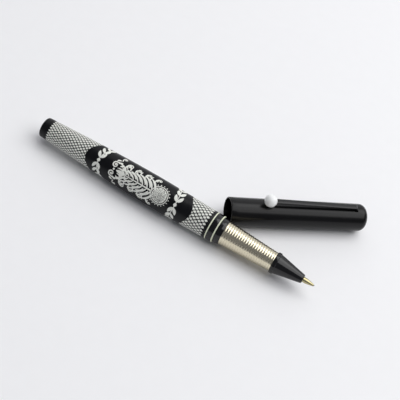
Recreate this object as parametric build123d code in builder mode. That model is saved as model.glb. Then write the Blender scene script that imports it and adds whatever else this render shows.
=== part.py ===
from build123d import *
import math
import os

# A rollerball pen laid on its side with its cap beside it, in millimetres.
# The pen's axis is the X axis: x = 0 at the rear end, the writing tip at the far end.
# The table they lie on is the plane z = -barrel_radius.

# ---- barrel ----
barrel_front = 80.3           # from the pen's rear end to the trim rings
barrel_full_at = 53.0         # where along the barrel it is fullest
barrel_swell = 0.35           # of the fullest radius over the front one
barrel_rear_drop = 1.83       # of the rear radius under the fullest one
barrel_wall = 0.7
end_plug_length = 3.0
end_plug_taper = 0.17         # of the plug's radius over its length
end_plug_edge = 0.8
end_plug_spigot = 6.0
pocket_floor = 2.2

# ---- trim rings, spacer and thread bush ----
trim_ring_width = 0.5
trim_ring_proud = 0.04
spacer_width = 2.4
spacer_step = 0.06            # of the spacer's radius under the barrel's
sleeve_wall = 0.7             # of the bush, under the rings
bush_step = 0.22              # of the bush's radius in the tube over the sleeve's
bush_length = 12.0            # of the bush, inside the tube
thread_height = 0.23          # between the shank and the bush's bore

# ---- clearances ----
glue_gap = 0.03               # between pieces that are glued or pressed together
running_gap = 0.05            # between pieces that slide or turn

# ---- front section ----
core_wall = 0.4               # the core's thinnest wall round the refill
shank_length = 7.5
seal_groove_depth = 0.47
seal_groove_width = 0.75
seal_setback = 1.0            # from the shank's rear end to the groove's middle
joint_gap = 0.05              # between the front trim ring and the collar
collar_step = 0.39            # of the collar's radius under the spacer's
collar_width = 2.5
collar_straight = 1.5
grip_step = 0.37              # of the grip's rear radius under the collar's
grip_length = 22.7
grip_wall = 0.5
flange_proud = 0.32
flange_width = 1.5
nose_wall = 0.75              # of the cone at its flange
nose_lip = 0.78               # of the cone round the tip
nose_length = 11.7            # of the cone in front of the flange
spigot_length = 2.6           # of the core, inside the nose cone
spigot_wall = 0.25
edge_break = 0.15

# ---- refill ----
refill_radius = 3.05
refill_wall = 0.35
refill_gap = 0.10             # around the refill in the section's bore
spring_room = 14.865          # from the end plug's pocket floor to the refill
refill_shoulder_setback = 15.2
refill_plug_length = 5.0
vent_radius = 0.4
holder_wall = 0.62            # of the holder round the tip
holder_length = 6.0
holder_spigot = 4.0           # of the holder, inside the refill tube
tip_radius = 1.10
tip_bare_length = 4.6         # of the brass in front of the nose cone
tip_straight = 1.3            # of that, before the tip narrows
tip_neck_radius = 0.57
tip_lip_radius = 0.43
tip_lip_length = 0.5
tip_socket = 2.0              # of the tip, inside the holder
wick_radius = 0.55
wick_overlap = 8.0            # of the wick, inside the reservoir
ink_bore = 0.2
reservoir_gap = 0.25
writing_ball_radius = 0.35
ball_show = 0.45              # share of the ball's diameter that stands out of the tip
ball_gap = 0.015

# ---- spring ----
spring_inset = 0.6            # of the wire's centre from the refill's side
spring_wire = 0.45
spring_turns = 8

# ---- cap ----
cap_length = 60.2
cap_mouth_wall = 0.48
cap_side_wall = 0.5           # at the closed end
cap_end_round = 3.0
cap_end_wall = 0.8
cap_bore_length = 24.0
cap_collar_gap = 0.07         # between the clear bore and the collar it closes over
cap_flange_gap = 0.14         # between the inner cap and the nose's flange
cap_setback = 1.7             # of the mouth's centre behind the section's start
cap_aside = 0.39              # between the mouth's near edge and the barrel's side
cap_turn = 37.4               # degrees from the pen's axis
inner_cap_setback = 0.3
inner_cap_length = 22.0
inner_cap_wall = 0.55
inner_cap_floor = 1.2
anchor_length = 5.8

# ---- clip ----
clip_lean = 5.0               # degrees that the clip leans from straight up
clip_ball_radius = 2.68
clip_ball_at = 15.8           # from the cap's mouth
clip_ball_gap = 0.04
clip_width = 2.1
clip_thickness = 0.85
clip_root_setback = 5.8       # of the root from the cap's closed end
clip_root_lift = 1.2          # of the bar's middle over the mouth's radius
clip_bend = 1.1
clip_tang_depth = 0.92        # of the tang's lower end below the cap's inside
clip_edge = 0.25
slot_gap = 0.25

# ---- radii worked out from the refill outwards ----
section_bore = refill_radius + refill_gap
groove_floor = section_bore + core_wall
shank_radius = groove_floor + seal_groove_depth
thread_bore = shank_radius + thread_height
sleeve_radius = thread_bore + sleeve_wall
bush_radius = sleeve_radius + bush_step
barrel_front_radius = bush_radius + glue_gap + barrel_wall
barrel_radius = barrel_front_radius + barrel_swell
barrel_rear_radius = barrel_radius - barrel_rear_drop
end_plug_radius = barrel_rear_radius - end_plug_taper
ring_bore = sleeve_radius + glue_gap
spacer_radius = barrel_front_radius - spacer_step
collar_radius = spacer_radius - collar_step
grip_rear_radius = collar_radius - grip_step
grip_front_radius = groove_floor + glue_gap + grip_wall
grip_rear_bore = grip_rear_radius - grip_wall
grip_front_bore = grip_front_radius - grip_wall
spigot_radius = section_bore + spigot_wall
nose_rear_radius = spigot_radius + glue_gap + nose_wall
flange_radius = nose_rear_radius + flange_proud
nose_front_radius = tip_radius + nose_lip
holder_radius = tip_radius + glue_gap + holder_wall
refill_bore = refill_radius - refill_wall
wick_bore = wick_radius + glue_gap
spring_radius = refill_radius - spring_inset
pocket_radius = spring_radius + spring_wire / 2 + running_gap
cap_bore_radius = collar_radius + cap_collar_gap
cap_mouth_radius = cap_bore_radius + cap_mouth_wall
inner_cap_bore = flange_radius + cap_flange_gap
inner_cap_radius = inner_cap_bore + inner_cap_wall
cap_inner_radius = inner_cap_radius + glue_gap
cap_end_radius = cap_inner_radius + cap_side_wall

# ---- places worked out from the sizes ----
spacer_start = barrel_front + trim_ring_width
spacer_end = spacer_start + spacer_width
sleeve_end = spacer_end + trim_ring_width
section_start = sleeve_end + joint_gap
grip_start = section_start + collar_width
grip_end = grip_start + grip_length
cone_start = grip_end + flange_width
nose_end = cone_start + nose_length
tip_end = nose_end + tip_bare_length
ball_centre = tip_end + writing_ball_radius * (2 * ball_show - 1)
pen_end = ball_centre + writing_ball_radius
refill_back = pocket_floor + spring_room
refill_start = refill_back + refill_wall
refill_shoulder = pen_end - refill_shoulder_setback
tip_start = refill_shoulder + holder_length
tip_back = tip_start - tip_socket
wick_end = tip_start + tip_socket
shank_start = section_start - shank_length
spigot_end = grip_end + spigot_length
table_z = -barrel_radius
clip_root_at = cap_length - clip_root_setback
clip_root_height = cap_mouth_radius + clip_root_lift
clip_tang_height = cap_inner_radius - clip_tang_depth
along = math.radians(cap_turn)
lean = math.radians(clip_lean)
cap_mouth_x = section_start - cap_setback
cap_mouth_y = barrel_front_radius + cap_aside + cap_mouth_radius * math.cos(along)

pen_axis = Axis.X

# The cap's own plane: x runs from its mouth to its closed end, y points up through the clip.
cap_plane = Plane(
    origin=(cap_mouth_x, cap_mouth_y, table_z + cap_mouth_radius),
    x_dir=(math.cos(along), math.sin(along), 0),
    z_dir=(
        math.sin(along) * math.cos(lean),
        -math.cos(along) * math.cos(lean),
        -math.sin(lean),
    ),
)
cap_axis = Axis(cap_plane.origin, cap_plane.x_dir)


def turned(*outline, plane=Plane.XY, axis=pen_axis, mode=Mode.ADD):
    """Turn an outline of (distance along, radius) points about an axis."""
    with BuildSketch(plane) as half:
        with BuildLine():
            Polyline(*outline, close=True)
        make_face()
    revolve(half.sketch, axis=axis, mode=mode)


def turned_cap(*outline, mode=Mode.ADD):
    """Turn an outline about the cap's axis, measured from the cap's mouth."""
    turned(*outline, plane=cap_plane, axis=cap_axis, mode=mode)


def tube(start, end, outer, inner=0.0):
    """The outline of a plain tube, or of a rod."""
    return (start, inner), (start, outer), (end, outer), (end, inner)


def barrel_side(inset):
    """Points down the barrel's bulged side, set in by a wall."""
    rear = end_plug_length
    span = barrel_full_at - rear
    rise = barrel_radius - barrel_rear_radius
    fall = barrel_radius - barrel_front_radius
    return [
        (rear, barrel_rear_radius - inset),
        (rear + span / 3, barrel_rear_radius + 0.5 * rise - inset),
        (rear + span * 2 / 3, barrel_rear_radius + 0.84 * rise - inset),
        (barrel_full_at, barrel_radius - inset),
        ((barrel_full_at + barrel_front) / 2, barrel_radius - 0.32 * fall - inset),
        (barrel_front, barrel_front_radius - inset),
    ]


def trim_ring(start, radius):
    """Turn a narrow ring with broken outer edges that stands a little proud."""
    edge = trim_ring_width / 4
    end = start + trim_ring_width
    top = radius + trim_ring_proud
    turned(
        (start, ring_bore),
        (start, top - edge),
        (start + edge, top),
        (end - edge, top),
        (end, top - edge),
        (end, ring_bore),
    )


# ================ barrel ================

# Thin drawn tube, fullest a little in front of its middle.
with BuildPart() as barrel_tube:
    with BuildSketch():
        with BuildLine():
            outside = Spline(*barrel_side(0))
            inside = Spline(*barrel_side(barrel_wall))
            Line(outside @ 0, inside @ 0)
            Line(outside @ 1, inside @ 1)
        make_face()
    revolve(axis=pen_axis)

# Turned end plug, flat at the back, with a pocket that seats the spring.
plug_spigot_radius = barrel_rear_radius - barrel_wall - glue_gap
plug_spigot_end = end_plug_length + end_plug_spigot
with BuildPart() as barrel_end_plug:
    turned(
        (0, 0),
        (0, end_plug_radius),
        (end_plug_length, barrel_rear_radius),
        (end_plug_length, plug_spigot_radius),
        (plug_spigot_end, plug_spigot_radius),
        (plug_spigot_end, pocket_radius),
        (pocket_floor, pocket_radius),
        (pocket_floor, 0),
    )
    rear_edge = barrel_end_plug.edges().group_by(Axis.X)[0]
    fillet(rear_edge, end_plug_edge)

# Bush in the tube's front end: it carries the rings and takes the section's thread.
bush_start = barrel_front - bush_length
with BuildPart() as thread_bush:
    turned(
        (bush_start, thread_bore),
        (bush_start, bush_radius),
        (barrel_front, bush_radius),
        (barrel_front, sleeve_radius),
        (sleeve_end, sleeve_radius),
        (sleeve_end, thread_bore),
    )

with BuildPart() as trim_ring_rear:
    trim_ring(barrel_front, barrel_front_radius)

with BuildPart() as spacer_ring:
    turned(*tube(spacer_start, spacer_end, spacer_radius, ring_bore))

with BuildPart() as trim_ring_front:
    trim_ring(spacer_end, spacer_radius)

# Coil spring between the plug's pocket and the refill.
spring_start = pocket_floor + spring_wire / 2 + running_gap
spring_length = refill_back - spring_start - spring_wire / 2 - running_gap
with BuildPart() as refill_spring:
    with BuildLine():
        coil = Helix(
            pitch=spring_length / spring_turns,
            height=spring_length,
            radius=spring_radius,
            center=(spring_start, 0, 0),
            direction=(1, 0, 0),
        )
    with BuildSketch(Plane(origin=coil @ 0, z_dir=coil % 0)):
        Circle(spring_wire / 2)
    sweep(path=coil)

# ================ seal ================

# Rubber ring that rides in the shank's groove and wipes the bush's bore.
seal_at = shank_start + seal_setback
seal_inner = groove_floor + running_gap
seal_outer = thread_bore - running_gap
with BuildPart() as section_seal:
    with BuildSketch():
        with Locations((seal_at, (seal_inner + seal_outer) / 2)):
            Circle((seal_outer - seal_inner) / 2)
    revolve(axis=pen_axis)

# ================ front section ================

# Moulded core: shank behind, tapered seat for the grip, spigot for the nose in front.
groove_half = seal_groove_width / 2
with BuildPart() as section_core:
    turned(
        (shank_start, section_bore),
        (shank_start, shank_radius),
        (section_start, shank_radius),
        (section_start, grip_rear_bore - glue_gap),
        (grip_start, grip_rear_bore - glue_gap),
        (grip_end, grip_front_bore - glue_gap),
        (grip_end, spigot_radius),
        (spigot_end, spigot_radius),
        (spigot_end, section_bore),
    )
    turned(
        *tube(seal_at - groove_half, seal_at + groove_half, thread_bore, groove_floor),
        mode=Mode.SUBTRACT,
    )

# Gloss collar that the cap's mouth closes over.
with BuildPart() as collar:
    turned(
        (section_start, grip_rear_bore),
        (section_start, collar_radius - edge_break),
        (section_start + edge_break, collar_radius),
        (section_start + collar_straight, collar_radius),
        (grip_start, grip_rear_radius + edge_break / 2),
        (grip_start, grip_rear_bore),
    )

# Tapered steel sleeve that the fingers hold.
with BuildPart() as grip_sleeve:
    turned(
        (grip_start, grip_rear_bore),
        (grip_start, grip_rear_radius - edge_break),
        (grip_start + edge_break, grip_rear_radius),
        (grip_end - edge_break, grip_front_radius),
        (grip_end, grip_front_radius - edge_break),
        (grip_end, grip_front_bore),
    )

# Nose cone with its thin proud flange; the refill's shoulder seats inside it.
nose_socket_radius = spigot_radius + glue_gap
nose_socket_end = spigot_end + glue_gap
tip_bore = tip_radius + running_gap
holder_bore = holder_radius + running_gap
with BuildPart() as nose_cone:
    turned(
        (grip_end, nose_socket_radius),
        (grip_end, flange_radius - edge_break),
        (grip_end + edge_break, flange_radius),
        (cone_start - edge_break, flange_radius),
        (cone_start, flange_radius - edge_break),
        (cone_start, nose_rear_radius),
        (nose_end - edge_break * 2, nose_front_radius),
        (nose_end, nose_front_radius - edge_break * 2),
        (nose_end, tip_bore),
        (tip_start, tip_bore),
        (tip_start, holder_bore),
        (refill_shoulder, holder_bore),
        (refill_shoulder, section_bore),
        (nose_socket_end, section_bore),
        (nose_socket_end, nose_socket_radius),
    )

# ================ refill ================

refill_front = refill_shoulder - running_gap
plug_end = refill_start + refill_plug_length
with BuildPart() as refill_tube:
    turned(*tube(refill_start + glue_gap, refill_front, refill_radius, refill_bore))

# Vented plug that closes the refill's rear end and takes the spring.
plug_lip = refill_start + glue_gap
with BuildPart() as refill_end_plug:
    turned(
        (refill_back, vent_radius),
        (refill_back, refill_bore),
        (refill_start, refill_radius),
        (plug_lip, refill_radius),
        (plug_lip, refill_bore - glue_gap),
        (plug_end, refill_bore - glue_gap),
        (plug_end, vent_radius),
    )

# Fibre reservoir that holds the ink, bored at the front for the wick.
holder_start = refill_front - holder_spigot
reservoir_start = plug_end + reservoir_gap
reservoir_end = holder_start - reservoir_gap
wick_start = reservoir_end - wick_overlap
with BuildPart() as ink_reservoir:
    turned(*tube(reservoir_start, reservoir_end, refill_bore - reservoir_gap))
    turned(*tube(wick_start - glue_gap, reservoir_end, wick_bore), mode=Mode.SUBTRACT)

# Moulded holder between the refill tube and the metal tip.
holder_end = tip_start - running_gap
with BuildPart() as tip_holder:
    turned(
        (holder_start, wick_bore),
        (holder_start, refill_bore - glue_gap),
        (refill_front, refill_bore - glue_gap),
        (refill_front, holder_radius),
        (holder_end, holder_radius),
        (holder_end, tip_radius + glue_gap),
        (tip_back, tip_radius + glue_gap),
        (tip_back, wick_bore),
    )

# Capillary wick that carries ink from the reservoir into the tip.
with BuildPart() as feed_wick:
    turned(*tube(wick_start, wick_end, wick_radius))

# Brass tip: straight, then drawn down to the ball's seat.
ball_seat = writing_ball_radius + ball_gap
seat_back = ball_centre - math.sqrt(ball_seat**2 - ink_bore**2)
with BuildPart() as tip_cone:
    turned(
        (tip_back + glue_gap, wick_bore),
        (tip_back + glue_gap, tip_radius),
        (nose_end + tip_straight, tip_radius),
        (tip_end - tip_lip_length, tip_neck_radius),
        (tip_end, tip_lip_radius),
        (tip_end, 0),
        (seat_back, 0),
        (seat_back, ink_bore),
        (wick_end + glue_gap, ink_bore),
        (wick_end + glue_gap, wick_bore),
    )
    with Locations((ball_centre, 0, 0)):
        Sphere(ball_seat, mode=Mode.SUBTRACT)

with BuildPart() as writing_ball:
    with Locations((ball_centre, 0, 0)):
        Sphere(writing_ball_radius)

# ================ clip ================

cap_taper = (cap_mouth_radius - cap_end_radius) / cap_length
clip_ball_height = (
    cap_mouth_radius - cap_taper * clip_ball_at + clip_ball_radius + clip_ball_gap
)
clip_slope = (clip_ball_height - clip_root_height) / (clip_root_at - clip_ball_at)
tongue_at = clip_ball_at + clip_ball_radius / 2
tongue_height = clip_ball_height - clip_slope * (tongue_at - clip_ball_at)
clip_ball_centre = cap_plane.from_local_coords(Vector(clip_ball_at, clip_ball_height, 0))


def clip_slot():
    """Cut the slot that the clip's tang passes down through."""
    low = clip_tang_height - slot_gap
    high = clip_root_height
    with BuildSketch(cap_plane) as opening:
        with Locations((clip_root_at, (low + high) / 2)):
            Rectangle(clip_thickness + 2 * slot_gap, high - low)
    extrude(
        opening.sketch, amount=clip_width / 2 + slot_gap, both=True, mode=Mode.SUBTRACT
    )


# Sprung bar from the ball to the root, where it bends down through the cap's wall.
with BuildPart() as clip_bar:
    with BuildSketch(cap_plane):
        with BuildLine():
            FilletPolyline(
                (tongue_at, tongue_height),
                (clip_root_at, clip_root_height),
                (clip_root_at, clip_tang_height),
                radius=clip_bend,
            )
        trace(line_width=clip_thickness)
    extrude(amount=clip_width / 2, both=True)
    long_edges = clip_bar.edges().filter_by(lambda edge: edge.length > cap_length / 3)
    fillet(long_edges, clip_edge)

# Frosted ball on the clip's free end, bored to take the bar's tongue.
with BuildPart() as clip_ball:
    with Locations(clip_ball_centre):
        Sphere(clip_ball_radius)
    add(clip_bar.part, mode=Mode.SUBTRACT)

# ================ cap ================

round_start = cap_length - cap_end_round
inner_corner = cap_inner_radius - cap_end_round / 2
inner_end = cap_length - cap_end_wall
# Deep-drawn tube with a rounded closed end, a clear bore at the mouth and the clip's slot.
with BuildPart() as cap_tube:
    with BuildSketch(cap_plane) as cap_half:
        with BuildLine():
            Polyline(
                (0, cap_bore_radius),
                (0, cap_mouth_radius - edge_break),
                (edge_break, cap_mouth_radius),
                (round_start, cap_end_radius),
            )
            RadiusArc(
                (round_start, cap_end_radius),
                (cap_length, cap_end_radius - cap_end_round),
                cap_end_round,
            )
            Polyline(
                (cap_length, cap_end_radius - cap_end_round),
                (cap_length, 0),
                (inner_end, 0),
                (inner_end, inner_corner),
                (round_start, cap_inner_radius),
                (cap_bore_length, cap_inner_radius),
                (cap_bore_length, cap_bore_radius),
                (0, cap_bore_radius),
            )
        make_face()
    revolve(cap_half.sketch, axis=cap_axis)
    clip_slot()

# Moulded inner cap that closes around the nose when the pen is capped.
inner_cap_start = cap_bore_length + inner_cap_setback
inner_cap_end = inner_cap_start + inner_cap_length
with BuildPart() as inner_cap:
    turned_cap(
        (inner_cap_start, inner_cap_bore),
        (inner_cap_start, inner_cap_radius),
        (inner_cap_end, inner_cap_radius),
        (inner_cap_end, 0),
        (inner_cap_end - inner_cap_floor, 0),
        (inner_cap_end - inner_cap_floor, inner_cap_bore),
    )

# Block in the closed end that holds the clip's tang.
anchor_end = round_start - glue_gap
with BuildPart() as clip_anchor:
    turned_cap(*tube(anchor_end - anchor_length, anchor_end, inner_cap_radius))
    clip_slot()

# ================ labels and files ================

pieces = {
    "barrel_tube": barrel_tube,
    "barrel_end_plug": barrel_end_plug,
    "thread_bush": thread_bush,
    "trim_ring_rear": trim_ring_rear,
    "spacer_ring": spacer_ring,
    "trim_ring_front": trim_ring_front,
    "refill_spring": refill_spring,
    "section_seal": section_seal,
    "section_core": section_core,
    "collar": collar,
    "grip_sleeve": grip_sleeve,
    "nose_cone": nose_cone,
    "refill_tube": refill_tube,
    "refill_end_plug": refill_end_plug,
    "ink_reservoir": ink_reservoir,
    "tip_holder": tip_holder,
    "feed_wick": feed_wick,
    "tip_cone": tip_cone,
    "writing_ball": writing_ball,
    "cap_tube": cap_tube,
    "inner_cap": inner_cap,
    "clip_anchor": clip_anchor,
    "clip_bar": clip_bar,
    "clip_ball": clip_ball,
}

os.makedirs("parts", exist_ok=True)
for name, piece in pieces.items():
    piece.part.label = name
    export_step(piece.part, f"parts/{name}.step")
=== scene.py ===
"""Rollerball pen with its cap beside it: the looks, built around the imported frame."""

import math

import bmesh
import bpy
from mathutils import Matrix, Vector, noise


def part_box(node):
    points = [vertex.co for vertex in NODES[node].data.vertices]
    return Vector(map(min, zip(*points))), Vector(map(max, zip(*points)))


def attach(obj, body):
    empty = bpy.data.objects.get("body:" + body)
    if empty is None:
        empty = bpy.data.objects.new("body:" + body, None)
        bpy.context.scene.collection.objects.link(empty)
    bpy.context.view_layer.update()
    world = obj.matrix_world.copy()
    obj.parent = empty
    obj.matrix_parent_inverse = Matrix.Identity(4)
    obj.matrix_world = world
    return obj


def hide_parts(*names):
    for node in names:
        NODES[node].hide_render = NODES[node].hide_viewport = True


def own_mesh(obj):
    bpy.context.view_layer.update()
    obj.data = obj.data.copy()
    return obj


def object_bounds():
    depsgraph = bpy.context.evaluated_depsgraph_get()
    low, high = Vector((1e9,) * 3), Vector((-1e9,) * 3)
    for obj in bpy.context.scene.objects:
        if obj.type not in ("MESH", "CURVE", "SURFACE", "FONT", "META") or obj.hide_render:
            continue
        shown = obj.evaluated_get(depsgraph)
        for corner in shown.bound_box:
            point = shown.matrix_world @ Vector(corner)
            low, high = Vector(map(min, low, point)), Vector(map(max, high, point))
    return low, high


bl_info = {
    "name": "Rollerball Pen",
    "version": (1, 0, 0),
    "blender": (4, 5, 0),
    "location": "View3D > Sidebar > Pen",
    "description": "Builds the printed barrel, ribbed grip, cap and clip of a rollerball pen",
    "category": "Object",
}

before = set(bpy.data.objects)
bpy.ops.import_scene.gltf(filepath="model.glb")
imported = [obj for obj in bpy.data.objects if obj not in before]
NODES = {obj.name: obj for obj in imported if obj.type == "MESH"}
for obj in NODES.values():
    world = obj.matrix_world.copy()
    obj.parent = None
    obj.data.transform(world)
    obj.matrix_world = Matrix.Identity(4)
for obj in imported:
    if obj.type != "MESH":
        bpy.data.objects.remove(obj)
CAD_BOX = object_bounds()

MM = 0.001
AROUND = 160          # flat sides of a turned piece
EASE = 0.06 * MM      # radius that turned corners are eased to
TOUCHING = 1e-6       # metres, under which two points are one
BORDER = 2.4 * MM     # width of the lacquer laid over the label's edge
INK_ROOM = 2.6        # ink heights that the barrel's skin is lowered by
FOOT, CREST = -2.2, 0.8   # a diamond's foot and top, in ink heights
BLUNTNESS = 0.45      # how far a diamond's in-between corners are drawn in
OUTSIDE = 1.5         # barrel radii from the axis to where print is dropped from
CRISP, ROUNDED = 0.6, 1.2   # radians, under which an edge shades smooth


# ---------------- colours and nodes ----------------


def linear(hex_colour):
    """The linear colour of an sRGB hex value such as 1A1B1E."""
    parts = [int(hex_colour[i : i + 2], 16) / 255 for i in (0, 2, 4)]
    return tuple(
        c / 12.92 if c <= 0.04045 else ((c + 0.055) / 1.055) ** 2.4 for c in parts
    )


def add_node(tree, kind, links=None, **settings):
    """Add a node with its settings, and link or fill its inputs."""
    node = tree.nodes.new(kind)
    for name, value in settings.items():
        setattr(node, name, value)
    for name, value in (links or {}).items():
        if isinstance(value, bpy.types.NodeSocket):
            tree.links.new(value, node.inputs[name])
        else:
            node.inputs[name].default_value = value
    return node


def finish(name, colours, grain, roughness, bump=0.0, stretch=(1, 1, 1), **shader):
    """A finish whose colour and roughness wander over a grain of that many millimetres.

    colours are the darker and the lighter, as hex values or as tones gives them. bump
    is the grain's height in millimetres, and stretch draws the grain out along X, Y or
    Z. Other values go straight to the shader's own sockets.
    """
    material = bpy.data.materials.new(name)
    material.use_nodes = True
    tree = material.node_tree
    tree.nodes.clear()
    place = add_node(tree, "ShaderNodeTexCoord").outputs["Object"]
    drawn = add_node(
        tree,
        "ShaderNodeMapping",
        {"Vector": place, "Scale": tuple(1 / (grain * MM * s) for s in stretch)},
    )
    speckle = add_node(
        tree,
        "ShaderNodeTexNoise",
        {"Vector": drawn.outputs[0], "Scale": 1.0, "Detail": 4.0, "Roughness": 0.6},
    )
    dark, light = (linear(c) if isinstance(c, str) else c for c in colours)
    tint = add_node(
        tree,
        "ShaderNodeMix",
        {0: speckle.outputs[0], 6: (*dark, 1), 7: (*light, 1)},
        data_type="RGBA",
    )
    rough = add_node(
        tree,
        "ShaderNodeMapRange",
        {"Value": speckle.outputs[0], "To Min": roughness[0], "To Max": roughness[1]},
    )
    body = add_node(
        tree,
        "ShaderNodeBsdfPrincipled",
        {"Base Color": tint.outputs[2], "Roughness": rough.outputs[0], **shader},
    )
    if bump:
        relief = add_node(
            tree,
            "ShaderNodeBump",
            {"Height": speckle.outputs[0], "Distance": bump * MM, "Strength": 1.0},
        )
        tree.links.new(relief.outputs[0], body.inputs["Normal"])
    add_node(tree, "ShaderNodeOutputMaterial", {"Surface": body.outputs[0]})
    return material


def tones(coat):
    """The darker and the lighter tone that the user's colours give a coat."""
    colours = bpy.context.scene.pen_colours
    return getattr(colours, f"{coat}_dark"), getattr(colours, f"{coat}_light")


def satin_lacquer():
    """Sprayed acrylic lacquer on a brass tube: near black, a soft wide sheen."""
    return finish(
        "satin_black_lacquer",
        tones("lacquer"),
        1.6,
        (0.28, 0.36),
        0.003,
        IOR=1.5,
        **{"Specular IOR Level": 0.22},
    )


def printing_ink():
    """Screen-printed enamel ink: pale silver grey, dry, a little patchy."""
    return finish(
        "screen_printed_ink", tones("ink"), 0.5, (0.42, 0.6), 0.006, IOR=1.48
    )


def gloss_resin():
    """Polished black ABS: sharp reflections, with the faintest hand scuffs."""
    return finish(
        "polished_black_resin",
        ("030305", "08080C"),
        2.2,
        (0.08, 0.16),
        0.001,
        IOR=1.54,
        **{"Specular IOR Level": 0.42},
    )


def ivory_resin():
    """Moulded ivory acetal for the trim rings: even, slightly waxy."""
    return finish(
        "ivory_acetal",
        tones("ivory"),
        0.8,
        (0.25, 0.35),
        0.002,
        IOR=1.48,
        **{
            "Subsurface Weight": 0.1,
            "Subsurface Scale": 0.3 * MM,
            "Subsurface Radius": (1.0, 1.0, 1.0),
        },
    )


def turned_steel():
    """Nickel-plated steel, turned and satin brushed round the sleeve: warm and streaky."""
    return finish(
        "turned_nickel_steel",
        tones("steel"),
        0.9,
        (0.13, 0.25),
        0.004,
        stretch=(0.12, 1, 1),
        Metallic=1.0,
    )


def drawn_brass():
    """Drawn and turned brass: bright yellow metal with lathe lines across it."""
    return finish(
        "turned_brass",
        tones("brass"),
        0.5,
        (0.16, 0.28),
        0.003,
        stretch=(0.15, 1, 1),
        Metallic=1.0,
    )


def carbide():
    """Sintered tungsten carbide: a dark grey mirror with fine pores."""
    return finish("sintered_carbide", ("6F7175", "9A9CA0"), 0.08, (0.15, 0.3), Metallic=1.0)


def matt_lacquer():
    """Matt powder lacquer on the cap: black, a broad dull sheen and a fine orange peel."""
    return finish(
        "matt_black_lacquer",
        tones("cap"),
        0.35,
        (0.22, 0.3),
        0.002,
        IOR=1.5,
        **{"Specular IOR Level": 0.26},
    )


def stoved_enamel():
    """Black stoved enamel on the spring-steel clip: glossy, thin over the edges."""
    return finish(
        "black_stoved_enamel", ("050506", "0C0C0D"), 1.2, (0.1, 0.2), 0.002, IOR=1.52
    )


def frosted_bead():
    """Acid-frosted glass bead: white, sugary, bright points where grains catch the light."""
    return finish(
        "frosted_white_glass",
        tones("bead"),
        0.4,
        (0.15, 0.5),
        0.05,
        IOR=1.5,
        **{
            "Subsurface Weight": 0.8,
            "Subsurface Scale": 1.5 * MM,
            "Subsurface Radius": (1.0, 1.0, 1.0),
        },
    )


def black_moulding():
    """Plain moulded black polypropylene inside the pen: soft sheen, slight flow marks."""
    return finish("moulded_black_pp", ("101011", "1C1C1D"), 1.0, (0.4, 0.55), 0.004, IOR=1.49)


def milky_moulding():
    """Natural extruded polypropylene of the refill: milky, a little see-through."""
    return finish(
        "natural_milky_pp",
        ("CFD3D2", "E6E9E6"),
        2.0,
        (0.25, 0.4),
        0.003,
        IOR=1.49,
        **{
            "Subsurface Weight": 0.4,
            "Subsurface Scale": 1.0 * MM,
            "Subsurface Radius": (1.0, 1.0, 1.0),
        },
    )


def inked_fibre():
    """Bonded polyester fibre soaked in blue ink: matt, with strands along it."""
    return finish(
        "inked_fibre", ("0E1C4A", "27408C"), 0.4, (0.7, 0.9), 0.03, stretch=(8, 1, 1)
    )


def spring_wire():
    """Drawn stainless spring wire: bright grey, fine die lines."""
    return finish("drawn_spring_wire", ("8E9093", "C4C6C8"), 0.2, (0.2, 0.35), Metallic=1.0)


def seal_rubber():
    """Moulded nitrile rubber: dull black with a dusty bloom."""
    return finish("nitrile_rubber", ("111111", "242424"), 0.3, (0.6, 0.8), 0.006, IOR=1.52)


MAKERS = {
    "black_lacquer": satin_lacquer,
    "screen_print": printing_ink,
    "gloss_black_resin": gloss_resin,
    "ivory_resin": ivory_resin,
    "ridged_steel": turned_steel,
    "brass": drawn_brass,
    "carbide": carbide,
    "matt_black_cap": matt_lacquer,
    "black_clip": stoved_enamel,
    "frosted_silver": frosted_bead,
    "black_moulding": black_moulding,
    "refill_moulding": milky_moulding,
    "ink_fibre": inked_fibre,
    "spring_steel": spring_wire,
    "seal_rubber": seal_rubber,
}
MADE = {}


def material_for(slot):
    """The finish for a slot, made the first time that it is asked for."""
    if slot not in MADE:
        MADE[slot] = MAKERS[slot]()
    return MADE[slot]


def paint_node(node, slot):
    """Give a carried-over piece of the frame its finish."""
    mesh = NODES[node].data
    mesh.materials.clear()
    mesh.materials.append(material_for(slot))


# ---------------- turned pieces ----------------


def seam_edges(node):
    """The edges of a turned piece that lie in the half-plane of its seam, as point pairs."""
    mesh = bmesh.new()
    mesh.from_mesh(NODES[node].data)
    bmesh.ops.remove_doubles(mesh, verts=mesh.verts, dist=TOUCHING)
    pairs = []
    for edge in mesh.edges:
        ends = [vert.co for vert in edge.verts]
        if all(abs(p.z) < TOUCHING and p.y > -TOUCHING for p in ends):
            pairs.append([(round(p.x, 7), round(p.y, 7)) for p in ends])
    mesh.free()
    return pairs


def turned_outline(node):
    """The closed outline of a turned piece, as (along, radius) points in metres.

    The seam gives its curved sides. A flat end joins two loose ends at the same place
    along the axis, or runs in to the axis where there is only one.
    """
    neighbours = {}
    for a, b in seam_edges(node):
        neighbours.setdefault(a, set()).add(b)
        neighbours.setdefault(b, set()).add(a)
    loose = sorted(p for p, near in neighbours.items() if len(near) == 1)
    while loose:
        end = loose.pop(0)
        if loose and abs(loose[0][0] - end[0]) < TOUCHING:
            other = loose.pop(0)
        else:
            other = (end[0], 0.0)
            neighbours.setdefault(other, set())
        neighbours[end].add(other)
        neighbours[other].add(end)
    centre = sorted(p for p, near in neighbours.items() if len(near) == 1)
    if len(centre) == 2:
        neighbours[centre[0]].add(centre[1])
        neighbours[centre[1]].add(centre[0])
    path = [min(neighbours)]
    while True:
        ahead = [p for p in sorted(neighbours[path[-1]]) if p not in path[-2:]]
        if not ahead or ahead[0] == path[0]:
            break
        path.append(ahead[0])
    return path


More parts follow.
